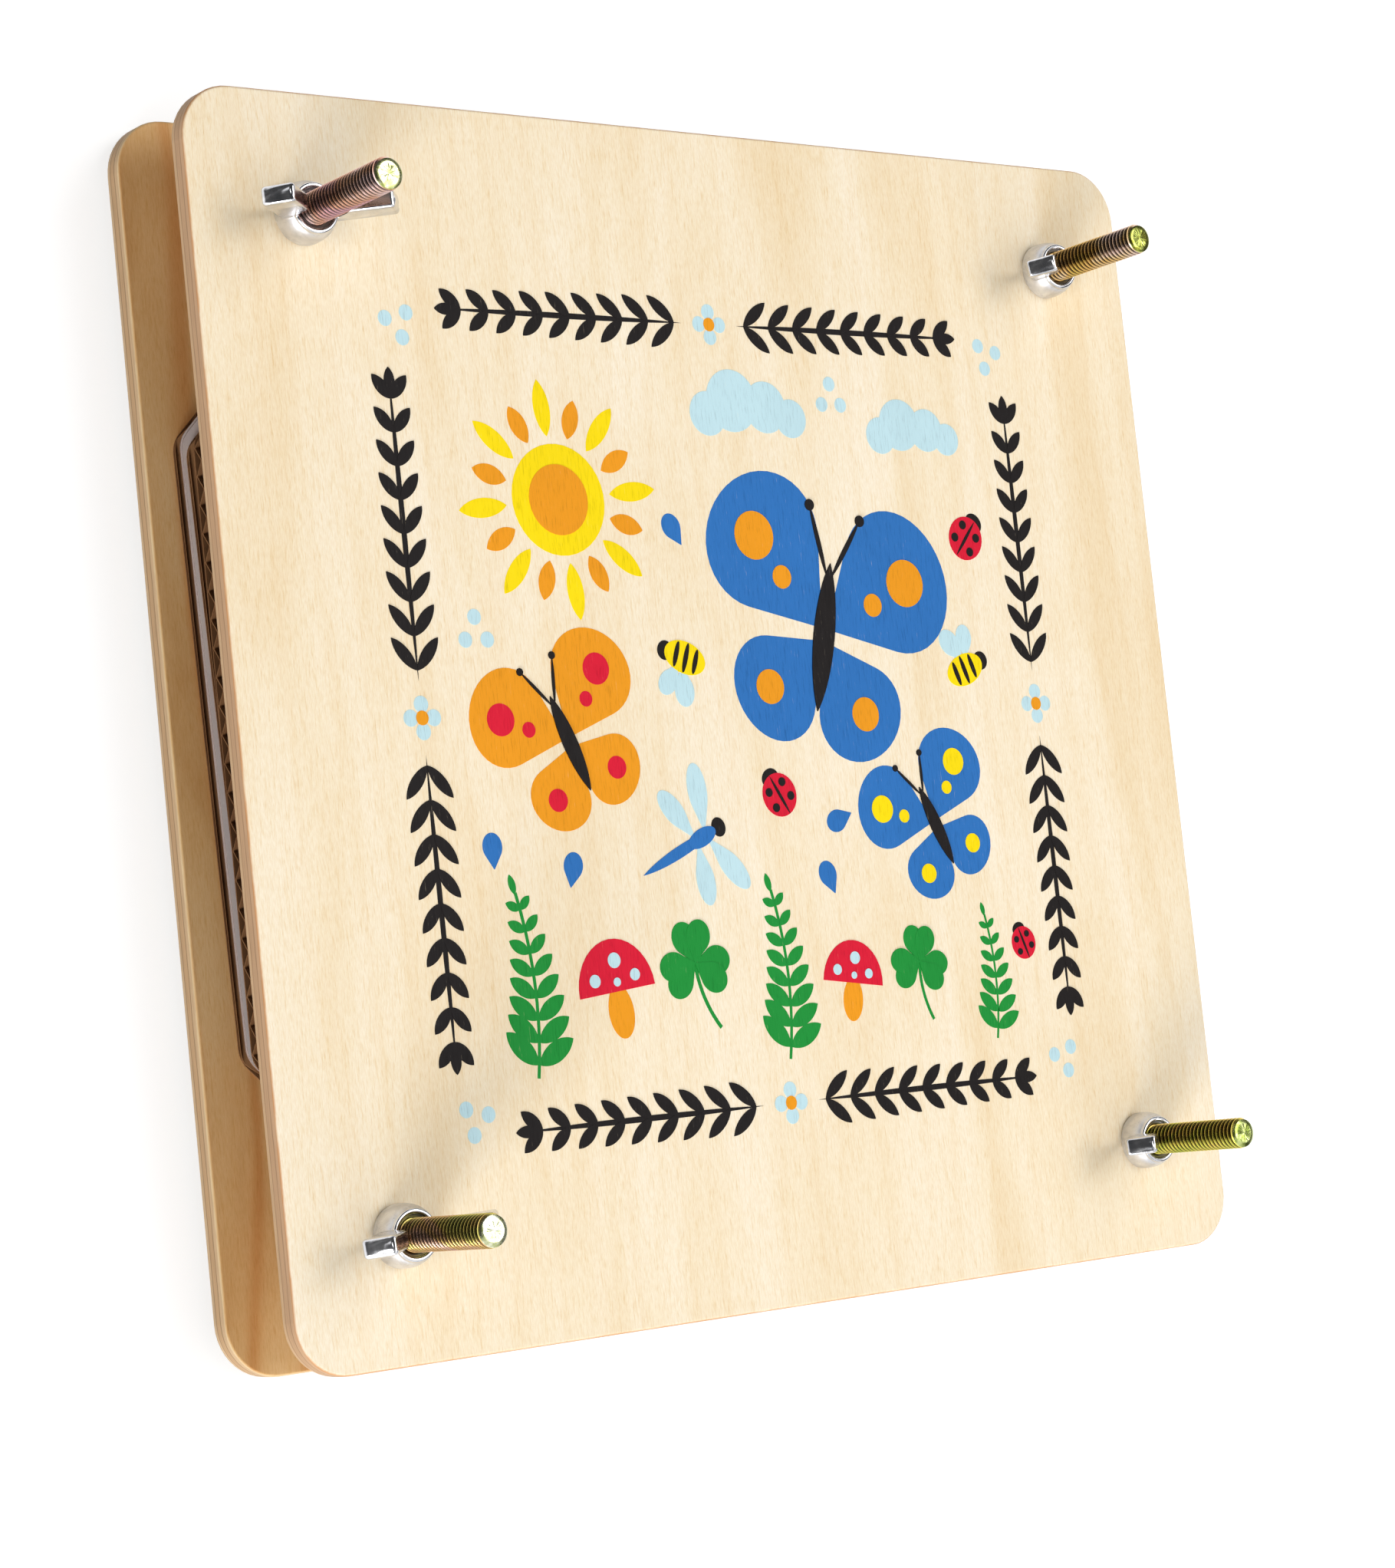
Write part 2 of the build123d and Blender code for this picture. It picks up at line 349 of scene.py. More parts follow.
# a crest's corner is how far it lies inwards from the crest, and how far up from the root
boltLook = {"crest": 2.95, "depth": 0.58, "pitch": 1.0, "steps": 32, "flankEnd": 0.88,
            "crestCorners": ((0.06, 0.33), (0.0, 0.40), (0.0, 0.48), (0.06, 0.55)),
            "tip": 58.3, "tipBevel": 0.9, "tipRim": 0.25, "endDent": 0.05, "endFilm": 0.45,
            "sides": 64, "blankRoom": 0.03,
            "headRadius": 8.0, "headHeight": 3.3, "domeSteps": 12, "rim": 0.6, "rimRound": 0.15,
            "neckWidth": 6.3, "neckLength": 3.4, "neckSink": 0.2, "neckBevel": 0.45, "smoothAngle": 32,
            "paintedValleyShade": "#170D06",
            # the ends' yellow-green is the film's own colour; their lightness, set bolt by bolt, is painted
            # highlight and shade
            "ends": {"top_left": ("#E6E8B8", "#AFB86E"), "top_right": ("#B4BC62", "#7A7A30"),
                     "bottom_right": ("#CBD58C", "#8E9E48"), "bottom_left": ("#ECEED2", "#BFC690")},
            "films": {"top_left": ("#D9A8AE", "#DDA88C", "#E6BBA6", "#F4D4D0"),
                      "top_right": ("#E0BC62", "#EDBE72", "#F6D6A8", "#F5D6C8"),
                      "bottom_right": ("#C9CE58", "#EADF68", "#EFCB6C", "#EBB28C"),
                      "bottom_left": ("#BDBB66", "#DDCB70", "#DDB276", "#E3B8A2")}}


def makeThread(look):
    crest, pitch = look["crest"], look["pitch"]
    root = crest - look["depth"]
    bottom = look["headHeight"] + look["neckLength"] - 2 * pitch
    turns = math.ceil((look["tip"] - bottom) / pitch) + 1
    corners = [(crest - inwards, bottom + rise) for inwards, rise in look["crestCorners"]]
    profile = [(root, bottom), *corners, (root, bottom + look["flankEnd"]), (root, bottom + pitch)]
    thread = drawProfile("thread", profile)
    closeEdit()
    applyModifier(thread, "SCREW", axis="Z", screw_offset=pitch * mm, angle=2 * math.pi, steps=look["steps"],
                  render_steps=look["steps"], iterations=turns, use_merge_vertices=False)
    openEdit(thread)
    bpy.ops.mesh.remove_doubles(threshold=2e-6)
    # the ragged first and last turns are cut off
    for level, side in ((bottom + 1.2 * pitch, -1), (look["tip"] + 0.4, 1)):
        bpy.ops.mesh.select_all(action="SELECT")
        bpy.ops.mesh.bisect(plane_co=(0, 0, level * mm), plane_no=(0, 0, side), use_fill=True,
                            clear_outer=True)
    bpy.ops.mesh.select_all(action="SELECT")
    bpy.ops.mesh.normals_make_consistent(inside=False)
    closeEdit()
    return thread


def makeBlank(look):  # the shank's outer limit, with the tip's bevel and a rough sheared end
    low = look["headHeight"]
    length = look["tip"] - low
    bpy.ops.object.select_all(action="DESELECT")
    radius = look["crest"] + look["blankRoom"]
    bpy.ops.mesh.primitive_cylinder_add(vertices=look["sides"], radius=radius * mm, depth=length * mm,
                                        location=(0, 0, (low + length / 2) * mm))
    blank = bpy.context.object
    applyPlace(blank)
    openEdit(blank)
    top = (look["tip"] - 0.01) * mm
    pickParts("edges", lambda e: all(v.co.z > top for v in e.verts))
    bpy.ops.mesh.bevel(offset=look["tipBevel"] * mm, segments=2, affect="EDGES")
    pickParts("faces", lambda f: f.normal.z > 0.9 and f.calc_center_median().z > top)
    bpy.ops.mesh.inset(thickness=look["tipRim"] * mm)
    bpy.ops.mesh.poke()
    bpy.ops.mesh.subdivide(number_cuts=2)
    bpy.ops.mesh.select_less()
    bpy.ops.transform.vertex_random(offset=look["endDent"] * mm, seed=7)
    closeEdit()
    return blank


def makeBolt(look):
    bolt = makeThread(look)
    combine(bolt, makeBlank(look), "INTERSECT")
    headRadius, headHeight, rimRound = look["headRadius"], look["headHeight"], look["rimRound"]
    rise = headHeight - look["rim"]
    ball = (headRadius ** 2 + rise ** 2) / (2 * rise)
    sweep = math.asin(headRadius / ball)
    angles = [sweep * i / look["domeSteps"] for i in range(look["domeSteps"] + 1)]
    dome = [(ball * math.sin(angle), ball * (1 - math.cos(angle))) for angle in angles]
    rim = [(headRadius, headHeight - rimRound), (headRadius - rimRound, headHeight), (0, headHeight)]
    head = turnProfile("head", dome + rim, look["sides"])
    bpy.ops.object.select_all(action="DESELECT")
    low = headHeight - look["neckSink"]
    high = headHeight + look["neckLength"]
    bpy.ops.mesh.primitive_cube_add(size=1, location=(0, 0, (low + high) / 2 * mm),
                                    scale=(look["neckWidth"] * mm, look["neckWidth"] * mm, (high - low) * mm))
    neck = bpy.context.object
    applyPlace(neck)
    openEdit(neck)
    pickParts("edges", lambda e: abs(e.verts[0].co.z - e.verts[1].co.z) > mm)
    bpy.ops.mesh.bevel(offset=look["neckBevel"] * mm, segments=2, affect="EDGES")
    closeEdit()
    combine(head, neck)
    combine(bolt, head)
    pickOnly(bolt)
    bpy.ops.object.shade_smooth_by_angle(angle=math.radians(look["smoothAngle"]))
    # how deep in the thread each point lies, for the painted shade darkening the valleys
    groove = bolt.data.attributes.new("groove", "FLOAT", "POINT")
    top = look["tip"] - look["tipBevel"]
    for i, vertex in enumerate(bolt.data.vertices):
        radius = math.hypot(vertex.co.x, vertex.co.y) / mm
        onShank = high < vertex.co.z / mm < top
        groove.data[i].value = min(1, max(0, (look["crest"] - radius) / look["depth"])) if onShank else 0
    return bolt


def yellowZincFinish(name, look, place):
    mat, shader = newFinish(name)
    film = grain(mat, (60, 60, 45), detail=3, warp=1.5)
    fine = grain(mat, (5200, 5200, 5200), detail=2, rough=0.6)
    colour = ramp(mat, film, list(zip((0.36, 0.46, 0.54, 0.64), look["films"][place])))
    # the sheared end keeps more of the green film; how light each bolt's end is set is painted highlight and
    # shade
    z = addNode(mat, "SeparateXYZ", {0: addNode(mat, "TexCoord").outputs["Object"]}).outputs[2]
    atEnd = calc(mat, "GREATER_THAN", z, (look["tip"] - look["endFilm"]) * mm)
    patchy = ramp(mat, grain(mat, (900, 900, 900), detail=3), list(zip((0.4, 0.6), look["ends"][place])))
    colour = mixColour(mat, atEnd, colour, patchy)
    deep = addNode(mat, "Attribute", attribute_name="groove").outputs["Fac"]
    # painted shade: the thread's valleys darken to near black, as shade between the flanks
    colour = mixColour(mat, ramp(mat, deep, [(0.1, 0.0), (0.55, 0.96)]), colour, tint(look["paintedValleyShade"]))
    colour = mixColour(mat, 0.4, colour, ramp(mat, fine, [(0.3, 0.75), (0.6, 1.0)]), "MULTIPLY")
    feed(mat, shader.inputs["Base Color"], colour)
    shader.inputs["Metallic"].default_value = 1.0
    feed(mat, shader.inputs["Roughness"], ramp(mat, fine, [(0.3, 0.3), (0.7, 0.2)]))
    addBump(mat, shader, fine, 0.004 * mm, 0.4)
    return mat


boltMaster = makeBolt(boltLook)
for place, (sx, sy) in places.items():
    bolt = copyPiece(boltMaster, "threaded_bolt_" + place)
    bolt.location = (sx * boltReach, sy * boltReach, 0)
    applyPlace(bolt)
    dress(bolt, yellowZincFinish("yellowZinc_" + place, boltLook, place))
    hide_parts("coach_bolt_" + place)
    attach(bolt, "base")
print("bolts made,", len(boltMaster.data.polygons), "faces each")
bpy.data.objects.remove(boltMaster)


# wing nuts: a cast hub and two thick wings, lengths in millimetres

nutLook = {"bore": 3.12, "boreBevel": 0.45, "base": 5.5, "baseBevel": 0.3, "height": 5.5, "sides": 72,
           "mouth": 3.64, "mouthDepth": 0.9, "lip": 0.48,
           "shoulderMiddle": 3.7, "shoulderLevel": 1.6, "shoulderRise": 3.75,
           "wingThickness": 3.2, "wingWidth": 6.0, "wingReach": 12.0, "wingHeight": 12.2, "wingRise": 42.0,
           "wingRoot": 4.2, "wingLength": 15.0, "edgeRound": 0.7, "endSpread": 1.08, "endZone": 1.5,
           "dent": 0.2, "voxel": 0.12,
           "turns": {"top_left": 1, "top_right": 11, "bottom_right": 3, "bottom_left": 5},
           "zinc": ("#E6E6E8", "#D6D6DA", "#C6C8CE"), "dull": "#A9A9AC", "hubDull": 0.2}


def makeWing(look, seed):
    rise = math.radians(look["wingRise"])
    length = look["wingLength"]
    mid = (look["wingReach"] - length / 2 * math.cos(rise), look["wingHeight"] - length / 2 * math.sin(rise))
    bpy.ops.object.select_all(action="DESELECT")
    bpy.ops.mesh.primitive_cube_add(size=1, location=(mid[0] * mm, 0, mid[1] * mm), rotation=(0, -rise, 0),
                                    scale=(length * mm, look["wingThickness"] * mm, look["wingWidth"] * mm))
    wing = bpy.context.object
    applyPlace(wing)
    openEdit(wing)
    root = look["wingRoot"] * mm
    bpy.ops.mesh.bisect(plane_co=(root, 0, 0), plane_no=(1, 0, 0), use_fill=True, clear_inner=True)
    pickParts("edges", lambda e: max(v.co.x for v in e.verts) > root + 0.5 * mm)
    bpy.ops.mesh.bevel(offset=look["edgeRound"] * mm, segments=3, affect="EDGES")
    outward = Vector((math.cos(rise), 0, math.sin(rise)))
    end = outward.dot(Vector((look["wingReach"], 0, look["wingHeight"])) * mm)
    pickParts("verts", lambda v: v.co.dot(outward) > end - look["endZone"] * mm)
    bpy.ops.transform.resize(value=(1, look["endSpread"], 1), center_override=(0, 0, 0))
    pickParts("faces", lambda f: f.normal.dot(outward) > 0.98)
    bpy.ops.mesh.subdivide(number_cuts=2)
    bpy.ops.transform.vertex_random(offset=look["dent"] * mm, seed=seed)
    closeEdit()
    return wing


def makeNut(look):
    base, height, bore, lip = look["base"], look["height"], look["bore"], look["lip"]
    # a convex shoulder rises to a rolled lip, which closes round the mouth of the bore
    middle, level, rise = look["shoulderMiddle"], look["shoulderLevel"], look["shoulderRise"]
    shoulder = []
    for i in range(9):
        t = math.radians(7.5 * i)
        shoulder.append((middle + (base - middle) * math.cos(t), level + rise * math.sin(t)))
    rolled = []
    for i in range(7):
        t = math.radians(30 * i)
        rolled.append((look["mouth"] + lip + lip * math.cos(t), height - lip + lip * math.sin(t)))
    boreBevel, baseBevel = look["boreBevel"], look["baseBevel"]
    profile = [(bore, boreBevel), (bore + boreBevel, 0), (base - baseBevel, 0), (base, baseBevel),
               *shoulder, *rolled, (bore, height - look["mouthDepth"]), (bore, boreBevel)]
    nut = turnProfile("nut", profile, look["sides"])
    for seed, half in ((3, 0), (8, math.pi)):
        wing = makeWing(look, seed)
        wing.rotation_euler = (0, 0, half)
        applyPlace(wing)
        combine(nut, wing)
    applyModifier(nut, "REMESH", mode="VOXEL", voxel_size=look["voxel"] * mm, use_smooth_shade=True)
    applyModifier(nut, "SMOOTH", factor=0.5, iterations=3)
    pickOnly(nut)
    bpy.ops.object.shade_smooth()
    # the hub's side is duller than the wings and the lip
    satin = nut.data.attributes.new("satin", "FLOAT", "POINT")
    for i, vertex in enumerate(nut.data.vertices):
        radius = math.hypot(vertex.co.x, vertex.co.y) / mm
        onHub = min(1, max(0, base + 1.4 - radius))  # fades out along the wings' roots
        satin.data[i].value = onHub * min(1, max(0, (height - 0.2 - vertex.co.z / mm) / 0.5))
    return nut


def brightZincFinish(name, look):
    mat, shader = newFinish(name)
    film = grain(mat, (240, 240, 240), detail=4, warp=0.8)
    pits = grain(mat, (2600, 2600, 2600), detail=3, rough=0.6)
    colour = ramp(mat, film, list(zip((0.34, 0.5, 0.66), look["zinc"])))
    colour = mixColour(mat, ramp(mat, pits, [(0.6, 0.0), (0.75, 0.6)]), colour, tint(look["dull"]))
    feed(mat, shader.inputs["Base Color"], colour)
    shader.inputs["Metallic"].default_value = 1.0
    satin = addNode(mat, "Attribute", attribute_name="satin").outputs["Fac"]
    dull = calc(mat, "MULTIPLY", satin, look["hubDull"])
    feed(mat, shader.inputs["Roughness"], calc(mat, "ADD", ramp(mat, film, [(0.3, 0.24), (0.7, 0.14)]), dull))
    addBump(mat, shader, film, 0.12 * mm, 0.35)
    return mat


nutMaster = makeNut(nutLook)
brightZinc = brightZincFinish("brightZinc", nutLook)
for place, (sx, sy) in places.items():
    nut = copyPiece(nutMaster, "cast_wing_nut_" + place)
    nut.rotation_euler = (0, 0, math.radians(nutLook["turns"][place]))
    nut.location = (sx * boltReach, sy * boltReach, faceHeight)
    applyPlace(nut)
    dress(nut, brightZinc)
    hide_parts("wing_nut_" + place)
    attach(nut, "nut_" + place)
print("wing nuts made,", len(nutMaster.data.polygons), "faces each")
bpy.data.objects.remove(nutMaster)


# printed garden on the front board: thin plates of ink, lengths in millimetres

printLook = {"ink": 0.02, "layer": 0.045, "sunk": 0.005, "step": 0.001, "stepCount": 40, "stemSteps": 10,
             "fernLength": 44.0, "border": 73.0, "sprayLength": 54.0, "sprayPairs": 9, "bareFibre": "#F1DDB8",
             "colours": {"blue": "#2F74BE", "orange": "#F29D1B", "yellow": "#FFE100", "green": "#1C9239",
                         "red": "#DF1836", "black": "#1F1B1B", "paleblue": "#C4E4EC"}}
inkPlates = {colour: [] for colour in printLook["colours"]}


def makeDisc():
    bpy.ops.object.select_all(action="DESELECT")
    bpy.ops.mesh.primitive_cylinder_add(vertices=36, radius=0.5, depth=1)
    return bpy.context.object


def makeLeaf():  # pointed at both ends, from x 0 to 1, and 1 wide
    bpy.ops.object.select_all(action="DESELECT")
    bpy.ops.mesh.primitive_cylinder_add(vertices=72, radius=0.625, depth=1, location=(0.5, 0.375, 0))
    leaf = bpy.context.object
    applyPlace(leaf)
    openEdit(leaf)
    bpy.ops.mesh.bisect(plane_co=(0, 0, 0), plane_no=(0, 1, 0), clear_outer=True)
    bpy.ops.mesh.select_all(action="SELECT")
    bpy.ops.transform.resize(value=(1, 2, 1), center_override=(0, 0, 0))
    closeEdit()
    applyModifier(leaf, "MIRROR", use_axis=(False, True, False), use_mirror_merge=True, merge_threshold=1e-4)
    openEdit(leaf)
    cleanShell()
    closeEdit()
    return leaf


def makeDrop():  # a round end tapering to a point at x 0
    bpy.ops.object.select_all(action="DESELECT")
    bpy.ops.mesh.primitive_cylinder_add(vertices=40, radius=0.5, depth=1, location=(0.62, 0, 0))
    drop = bpy.context.object
    applyPlace(drop)
    openEdit(drop)
    bpy.ops.transform.resize(value=(0.76, 1, 1), center_override=(0.62, 0, 0))
    bpy.ops.mesh.primitive_cylinder_add(vertices=10, radius=0.03, depth=1, location=(0.03, 0, 0))
    bpy.ops.mesh.select_all(action="SELECT")
    bpy.ops.mesh.convex_hull()
    bpy.ops.mesh.normals_make_consistent(inside=False)
    closeEdit()
    return drop


def makeCap():  # half a disc over y 0, 1 wide and 1 high
    cap = makeDisc()
    openEdit(cap)
    bpy.ops.mesh.bisect(plane_co=(0, 0, 0), plane_no=(0, -1, 0), use_fill=True, clear_outer=True)
    bpy.ops.mesh.select_all(action="SELECT")
    bpy.ops.transform.resize(value=(1, 2, 1), center_override=(0, 0, 0))
    closeEdit()
    return cap


stencils = {"disc": makeDisc(), "leaf": makeLeaf(), "drop": makeDrop(), "cap": makeCap()}


def stamp(shape, colour, spot, x, y, length, width, turn=0.0, layer=0):
    spotX, spotY, spotTurn, size = spot
    plate = copyPiece(stencils[shape], shape)
    angle = math.radians(spotTurn)
    px = spotX + size * (x * math.cos(angle) - y * math.sin(angle))
    py = spotY + size * (x * math.sin(angle) + y * math.cos(angle))
    # each layer is a little thicker than the one below it, and all of them start just inside the wood;
    # small steps keep the tops of plates that overlap from being level
    step = printLook["step"] * (len(inkPlates[colour]) % printLook["stepCount"])
    top = printLook["ink"] + layer * printLook["layer"] + step
    plate.location = (px * mm, py * mm, faceHeight + (top / 2 - printLook["sunk"]) * mm)
    plate.rotation_euler = (0, 0, angle + math.radians(turn))
    plate.scale = (length * size * mm, width * size * mm, (top + 2 * printLook["sunk"]) * mm)
    inkPlates[colour].append(plate)


def arcStem(colour, spot, radius, sweep, width):  # a stem that bends left from the spot along its x
    spotX, spotY, spotTurn, size = spot
    near, far = radius - width / 2, radius + width / 2
    low, high = -printLook["sunk"], printLook["ink"]
    base = [(near, low), (far, low), (far, high), (near, high), (near, low)]
    stem = drawProfile("stem", [(r * size, z) for r, z in base])
    bpy.ops.mesh.remove_doubles(threshold=1e-7)
    bpy.ops.mesh.select_all(action="SELECT")
    bpy.ops.mesh.edge_face_add()
    # with no window a spin turns clockwise, so the stem's bend is given the other way
    bpy.ops.mesh.spin(steps=printLook["stemSteps"], angle=-math.radians(sweep), center=(0, 0, 0),
                      axis=(0, 0, 1))
    bpy.ops.mesh.select_all(action="SELECT")
    bpy.ops.mesh.normals_make_consistent(inside=False)
    closeEdit()
    # the arc starts at x = radius heading along y, so it is moved back and turned to head along the spot's x
    place = Matrix.Translation((spotX * mm, spotY * mm, faceHeight))
    heading = Matrix.Rotation(math.radians(spotTurn) - math.pi / 2, 4, "Z")
    stem.matrix_world = place @ heading @ Matrix.Translation((-radius * size * mm, 0, 0))
    inkPlates[colour].append(stem)


def alongArc(radius, angle):
    return radius * math.sin(angle), radius * (1 - math.cos(angle))


def butterfly(spot, wing, mark):
    for side in (1, -1):
        upper, lower = 90 - 50 * side, -90 + 40 * side
        stamp("drop", wing, spot, 0.6 * side, 1.0, 22, 19, upper)
        stamp("drop", wing, spot, 0.6 * side, -1.0, 16, 14, lower)
        for reach, angle, across in ((15.5, upper, 6.2), (11.2, lower, 4.4), (9.0, upper, 3.0)):
            turn = math.radians(angle)
            x, y = 0.6 * side + reach * math.cos(turn), reach * math.sin(turn)
            stamp("disc", mark, spot, x, y, across, across, 0, 1)
        lean, feeler = 90 - 24 * side, 9.5
        stamp("leaf", "black", spot, 0.3 * side, 7.5, feeler, 0.7, lean, 2)
        turn = math.radians(lean)
        x, y = 0.3 * side + feeler * math.cos(turn), 7.5 + feeler * math.sin(turn)
        stamp("disc", "black", spot, x, y, 1.5, 1.5, 0, 3)
    stamp("leaf", "black", spot, 0, -10, 19.5, 3.4, 90, 4)


def ladybird(spot):
    stamp("disc", "black", spot, 0, 4.6, 5.2, 4.4)
    stamp("disc", "red", spot, 0, 0, 10, 10.4, 0, 1)
    stamp("leaf", "black", spot, 0, -5.2, 10.2, 0.8, 90, 2)
    for x, y in ((2.4, 2.1), (2.7, -1.9), (-2.4, 2.1), (-2.7, -1.9)):
        stamp("disc", "black", spot, x, y, 2.1, 2.1, 0, 2)


def bee(spot):
    stamp("drop", "paleblue", spot, 0.5, 2.2, 9.5, 5.6, 112)
    stamp("drop", "paleblue", spot, 1.5, 2.2, 8.5, 5.0, 70)
    stamp("disc", "black", spot, 5.8, 0.2, 4.4, 4.6)
    stamp("disc", "yellow", spot, 0, 0, 12, 7.6, 0, 1)
    for x, height in ((-3.0, 6.0), (-0.2, 7.2), (2.6, 6.2)):
        stamp("disc", "black", spot, x, 0, 1.3, height, 0, 2)


def fern(spot, bend, pairs):
    radius, sweep = printLook["fernLength"] / math.radians(bend), math.radians(bend)
    arcStem("green", spot, radius, bend, 0.9)
    for i in range(pairs):
        t = (i + 0.6) / (pairs + 0.4)
        x, y = alongArc(radius, sweep * t)
        leaflet = 12.5 * (1 - 0.72 * t)
        heading = math.degrees(sweep * t)
        for side in (1, -1):
            stamp("leaf", "green", spot, x, y, leaflet, 0.36 * leaflet + 0.7, heading + 54 * side)
    x, y = alongArc(radius, sweep)
    stamp("leaf", "green", spot, x - 0.5, y, 5.0, 2.0, bend)


def clover(spot):
    arcStem("green", (spot[0], spot[1], spot[2] - 90, spot[3]), 26, 34, 0.9)
    for turn in (90, 200, -20):
        for side in (1, -1):
            stamp("drop", "green", spot, 0, 0, 9.5, 6.4, turn + 19 * side, 1 if side > 0 else 2)


def sun(spot):
    for i in range(16):
        angle = 22.5 * i
        x, y = 11.6 * math.cos(math.radians(angle)), 11.6 * math.sin(math.radians(angle))
        stamp("leaf", "orange" if i % 2 else "yellow", spot, x, y, 7.5 if i % 2 else 10.5, 3.6, angle)
    stamp("disc", "yellow", spot, 0, 0, 20.5, 20.5)
    stamp("disc", "orange", spot, 0, 0, 13.0, 13.0, 0, 1)


def dragonfly(spot):
    for side in (1, -1):
        stamp("drop", "paleblue", spot, 3.2, 0.6 * side, 14, 4.8, 72 * side)
        stamp("drop", "paleblue", spot, 0.4, 0.6 * side, 12.5, 4.6, 106 * side)
    stamp("leaf", "blue", spot, -15, 0, 22, 2.4, 0, 1)
    stamp("disc", "blue", spot, 2.0, 0, 7.5, 3.6, 0, 2)
    stamp("disc", "black", spot, 6.8, 0, 3.4, 4.0, 0, 1)


def cloud(spot):
    for x, y, across in ((-8.5, 0, 8.5), (-2.5, 2.6, 12), (5.5, 1.6, 10), (11.5, -0.4, 7.5)):
        stamp("disc", "paleblue", spot, x, y, across, across)


def toadstool(spot):
    stamp("drop", "orange", spot, 0, 4.0, 12.5, 5.6, -90)
    stamp("cap", "red", spot, 0, 0, 17, 9.5, 0, 1)
    for x, y, across in ((-4.6, 2.6, 2.4), (0.4, 5.6, 2.8), (4.4, 2.4, 2.2), (0.2, 1.7, 1.6)):
        stamp("disc", "paleblue", spot, x, y, across, across, 0, 2)


def spray(spot, length, pairs):
    stamp("leaf", "black", spot, 0, 0, length, 1.1)
    for k in range(pairs):
        for side in (1, -1):
            stamp("leaf", "black", spot, length * (k + 0.3) / pairs, 0, 7.6 - 0.25 * k, 2.4, 40 * side, 1)
    stamp("leaf", "black", spot, length - 3.5, 0, 5.0, 2.2, 0, 1)


def border(look):  # two sprays along each side of the board, away from a bead in its middle
    for turn in (0, 90, 180, 270):
        a = math.radians(turn)
        x, y = look["border"] * math.cos(a), look["border"] * math.sin(a)
        for way in (90, -90):
            b = math.radians(turn + way)
            spray((x + 6.5 * math.cos(b), y + 6.5 * math.sin(b), turn + way, 1), look["sprayLength"],
                  look["sprayPairs"])
        for k in range(4):
            b = math.radians(90 * k)
            stamp("disc", "paleblue", (x, y, turn, 1), 2.4 * math.cos(b), 2.4 * math.sin(b), 3.0, 3.0)
        stamp("disc", "orange", (x, y, turn, 1), 0, 0, 2.6, 2.6, 0, 1)


def dots(spot):
    for k in range(3):
        angle = math.radians(120 * k + 90)
        stamp("disc", "paleblue", spot, 3.0 * math.cos(angle), 3.0 * math.sin(angle), 3.2, 3.2)


# x and y on the board, turn and size of each motif
border(printLook)
sun((-39, 39, 6, 1.0))
cloud((6, 56, 0, 1.0))
cloud((47, 53, 0, 0.85))
butterfly((20, 14, -14, 1.5), "blue", "orange")
butterfly((-42, -5, 22, 0.95), "orange", "red")
butterfly((43, -23, 24, 0.85), "blue", "yellow")
fern((-56, -64, 80, 0.75), 24, 8)
fern((1, -65, 78, 0.72), 26, 8)
fern((53, -65, 78, 0.55), 24, 7)
toadstool((-37, -50, 6, 1.0))
toadstool((18, -52, -8, 0.85))
clover((-19, -46, 4, 0.85))
clover((35, -49, -6, 0.75))
dragonfly((-16, -24, 24, 0.92))
ladybird((59, 33, -40, 0.85))
ladybird((5, -16, 30, 0.8))
ladybird((62.5, -47, 20, 0.62))
bee((-14, 10, 160, 0.8))
bee((55, 7, 20, 0.8))
for x, y, turn in ((-45, -31, 75), (16, -35, 110), (-61, -27, 90), (22, -20, 200), (-12, 31, 120)):
    stamp("drop", "blue", (x, y, turn, 1), 0, 0, 6.5, 4.2)
for x, y, turn in ((70, 70, 45), (-70, 70, -45), (-70, -70, 45), (70, -70, -45), (28, 60, 0), (-60, 15, 0)):
    dots((x, y, turn, 0.9))


def inkFinish(name, colour):
    mat, shader = newFinish(name)
    fibre = grain(mat, woodGrain["fibre"], detail=4, rough=0.6)
    cover = ramp(mat, grain(mat, (60, 40, 60), detail=3), [(0.3, 0.92), (0.65, 1.0)])
    shade = ramp(mat, fibre, [(0.28, 0.74), (0.46, 0.98), (0.7, 1.0)])
    inked = mixColour(mat, 1.0, tint(colour), shade, "MULTIPLY")
    inked = mixColour(mat, 0.8, inked, cover, "MULTIPLY")
    bare = ramp(mat, fibre, [(0.66, 0.0), (0.8, 0.28)])  # pale fibres that show through
    feed(mat, shader.inputs["Base Color"], mixColour(mat, bare, inked, tint(printLook["bareFibre"])))
    feed(mat, shader.inputs["Roughness"], ramp(mat, fibre, [(0.3, 0.6), (0.7, 0.44)]))
    shader.inputs["Specular IOR Level"].default_value = 0.08
    addBump(mat, shader, fibre, woodGrain["bump"] * mm, woodGrain["bumpStrength"])
    return mat


for colour, plates in inkPlates.items():
    bpy.ops.object.select_all(action="DESELECT")
    for plate in plates:
        plate.select_set(True)
    bpy.context.view_layer.objects.active = plates[0]
    bpy.ops.object.join()
    inked = bpy.context.object
    inked.name = "print_" + colour
    applyPlace(inked)
    dress(inked, inkFinish("ink" + colour.capitalize(), printLook["colours"][colour]))
    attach(inked, "front_board")
for stencil in stencils.values():
    bpy.data.objects.remove(stencil)
print("print made of", sum(len(plates) for plates in inkPlates.values()), "plates")


# floor, light and camera

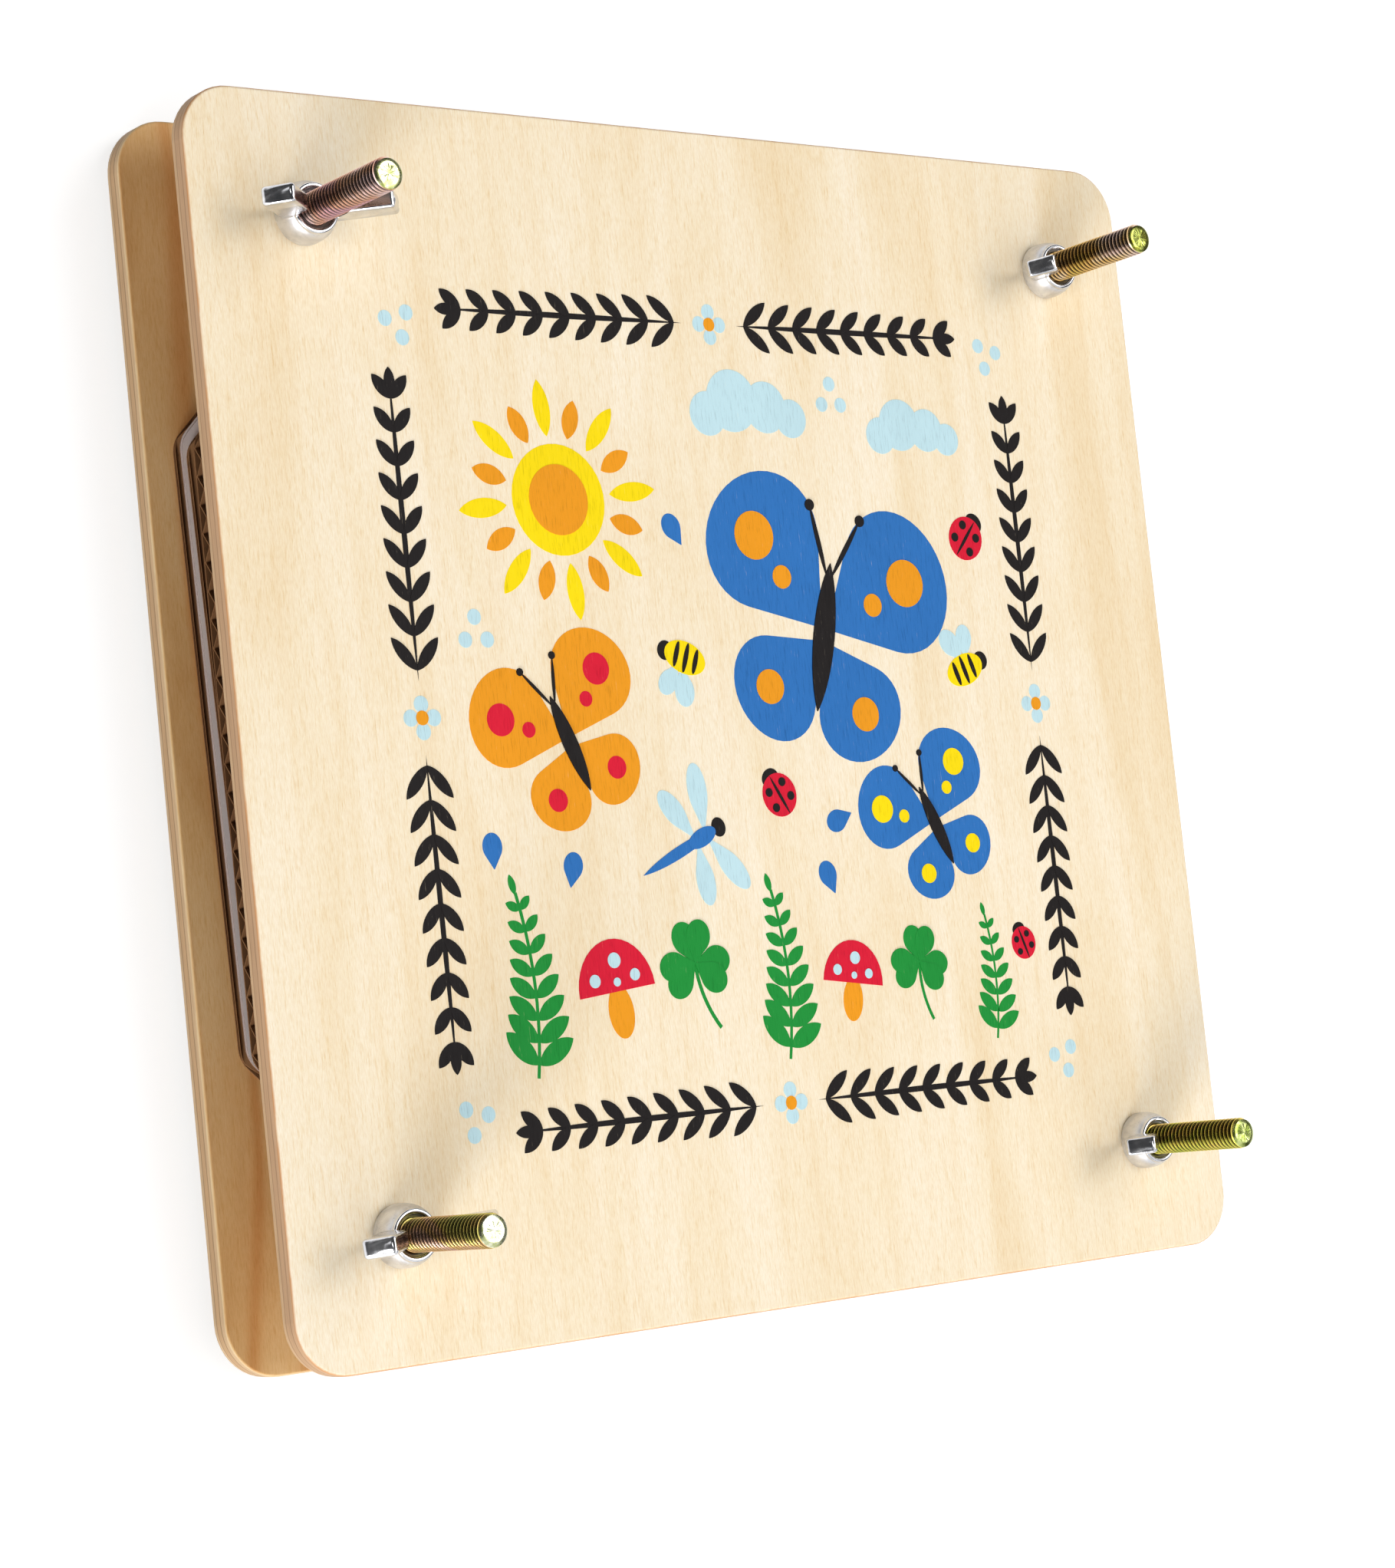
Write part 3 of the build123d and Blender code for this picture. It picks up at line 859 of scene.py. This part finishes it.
stageLook = {"floor": "#BEBEBE", "floorSize": 6,
             "glow": 0.68, "glowReach": 3.0, "glowFrom": 0.12, "glowTo": 0.7,
             "skyLow": 1.0, "skyHigh": 0.06, "skyBand": (0.16, 0.3), "aim": (0, 0, 0.03),
             "key": {"place": (0.85, 0.3, 2.1), "watts": 35.0, "size": (1.6, 1.6)},
             "below": {"place": (0.3, -1.55, 1.75), "watts": 24.5, "size": (3.4, 2.4)},
             "left": {"place": (-1.45, -1.75, 0.6), "watts": 42.0, "size": (1.1, 0.5)}}


def aimAt(obj, target):
    obj.rotation_euler = (Vector(target) - obj.location).to_track_quat("-Z", "Y").to_euler()


def makeFloor(look):
    bpy.ops.object.select_all(action="DESELECT")
    bpy.ops.mesh.primitive_plane_add(size=look["floorSize"])
    floor = bpy.context.object
    floor.name = "floor"
    mat, shader = newFinish("paleFloor")
    shader.inputs["Base Color"].default_value = tint(look["floor"])
    shader.inputs["Roughness"].default_value = 0.9
    shader.inputs["Specular IOR Level"].default_value = 0.1
    path = addNode(mat, "LightPath")
    seen = calc(mat, "MAXIMUM", path.outputs["Is Camera Ray"], path.outputs["Is Glossy Ray"])
    seen = calc(mat, "MAXIMUM", seen, path.outputs["Is Transmission Ray"])
    shader.inputs["Emission Color"].default_value = (1, 1, 1, 1)
    # far from the lamps the floor gets less light, so there it glows more
    where = addNode(mat, "TexCoord").outputs["Object"]
    far = addNode(mat, "VectorMath", {0: where}, operation="LENGTH").outputs["Value"]
    far = calc(mat, "DIVIDE", far, look["glowReach"])
    glow = ramp(mat, far, [(look["glowFrom"], look["glow"]), (look["glowTo"], 1.0)])
    feed(mat, shader.inputs["Emission Strength"], calc(mat, "MULTIPLY", seen, glow))
    dress(floor, mat)


def makeLamp(name, look, target):
    lamp = bpy.data.objects.new(name, bpy.data.lights.new(name, "AREA"))
    lamp.data.energy = look["watts"]
    lamp.data.shape = "RECTANGLE"
    lamp.data.size, lamp.data.size_y = look["size"]
    lamp.location = look["place"]
    aimAt(lamp, target)
    lamp.visible_camera = False
    bpy.context.collection.objects.link(lamp)


def makeSky(look):
    world = bpy.data.worlds.new("studio")
    bpy.context.scene.world = world
    world.use_nodes = True
    where = addNode(world, "TexCoord").outputs["Generated"]
    height = addNode(world, "SeparateXYZ", {0: where}).outputs[2]
    low, high = look["skyBand"]
    glow = ramp(world, height, [(0.0, look["skyLow"]), (low, look["skyLow"]), (high, look["skyHigh"]),
                                (1.0, look["skyHigh"])])
    feed(world, world.node_tree.nodes["Background"].inputs["Color"], glow)


makeFloor(stageLook)
for lampName in ("key", "below", "left"):
    makeLamp(lampName, stageLook[lampName], stageLook["aim"])
makeSky(stageLook)

cameraLook = {"lens": 83.26, "sensor": 36, "clipStart": 0.01, "place": (-0.42391, -0.06814, 0.54887),
              "right": (0.78585, -0.10397, 0.60962), "up": (0.03101, 0.99115, 0.12907),
              "forward": (0.61764, 0.08252, -0.78212)}
camera = bpy.data.objects.new("camera", bpy.data.cameras.new("camera"))
bpy.context.collection.objects.link(camera)
camera.data.lens = cameraLook["lens"]
camera.data.sensor_width = cameraLook["sensor"]
camera.data.clip_start = cameraLook["clipStart"]
back = tuple(-c for c in cameraLook["forward"])
turn = Matrix((cameraLook["right"], cameraLook["up"], back)).transposed().to_4x4()
camera.matrix_world = Matrix.Translation(cameraLook["place"]) @ turn
bpy.context.scene.camera = camera
bpy.context.scene.view_settings.view_transform = "Standard"
print("floor, light and camera set")
